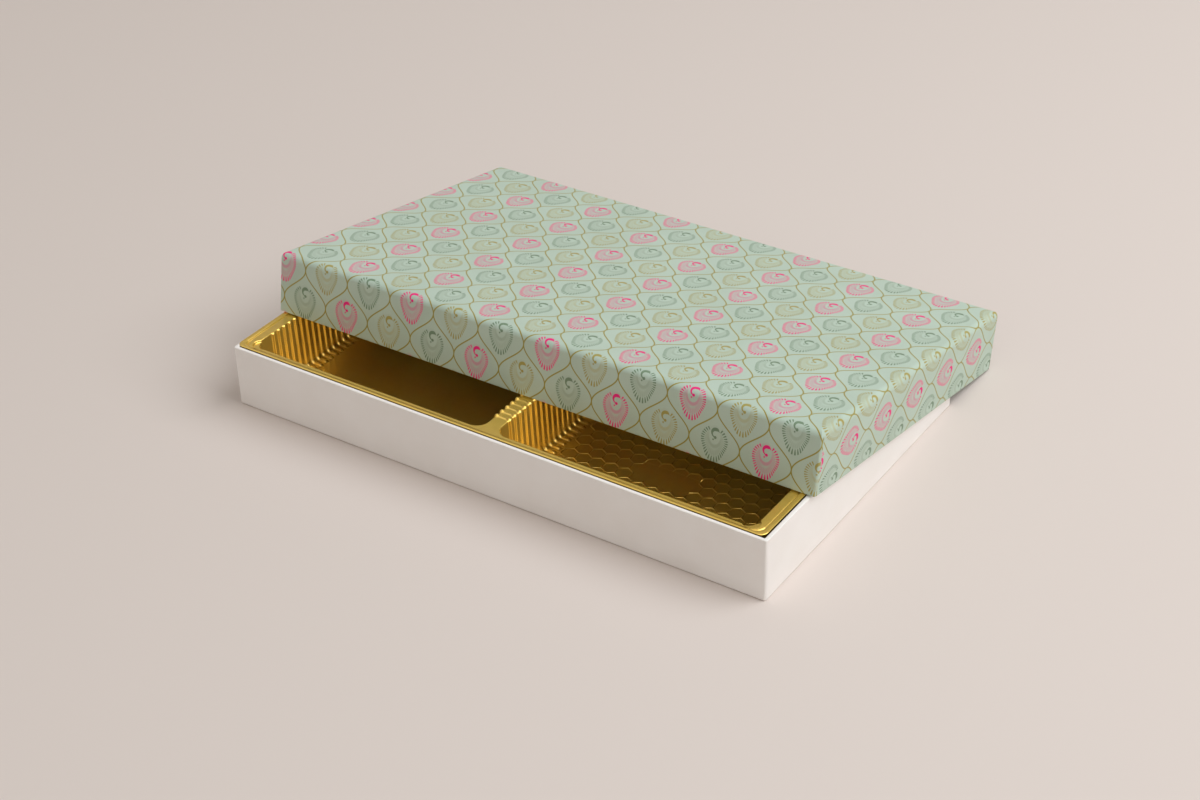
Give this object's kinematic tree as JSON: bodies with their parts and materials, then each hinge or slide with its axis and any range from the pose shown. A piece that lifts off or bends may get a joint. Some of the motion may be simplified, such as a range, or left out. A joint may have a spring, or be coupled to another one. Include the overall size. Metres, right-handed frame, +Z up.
{
  "type": "rigid sweet box",
  "caption": "Shallow wrapped-board gift box for sweets: white base, gold formed tray with compartments, and a pale green patterned lid leaning on the base.",
  "frame": {"origin": "centre of the base's underside, on the table", "axes": "+X along the box's length to the right, +Y from the open front to the back, +Z up"},
  "size_m": [0.2846, 0.2119, 0.0598],
  "materials": {
    "greyboard": "plain grey board, matt",
    "white_wrap": "smooth white wrapping paper, matt",
    "printed_wrap": "pale mint paper with a fine printed lattice, slight sheen",
    "stay_tape": "brown gummed corner tape",
    "gold_film": "thin formed plastic sheet with a bright gold face"
  },
  "bodies": {
    "base": {"base_board": "greyboard", "base_corner_stay_back_left": "stay_tape", "base_corner_stay_back_right": "stay_tape", "base_corner_stay_front_left": "stay_tape", "base_corner_stay_front_right": "stay_tape", "base_wrap": "white_wrap"},
    "tray": {"gold_tray": "gold_film"},
    "lid": {"lid_board": "greyboard", "lid_corner_stay_back_left": "stay_tape", "lid_corner_stay_back_right": "stay_tape", "lid_corner_stay_front_left": "stay_tape", "lid_corner_stay_front_right": "stay_tape", "lid_wrap": "printed_wrap"}
  },
  "joints": [
    {"name": "tray_lift", "type": "slide", "parent": "base", "child": "tray", "axis": [0, 0, 1], "range_m": [0, 0.045]},
    {"name": "lid_lift", "type": "slide", "parent": "tray", "child": "lid", "axis": [0, 0, 1], "range_m": [0, 0.08]}
  ]
}
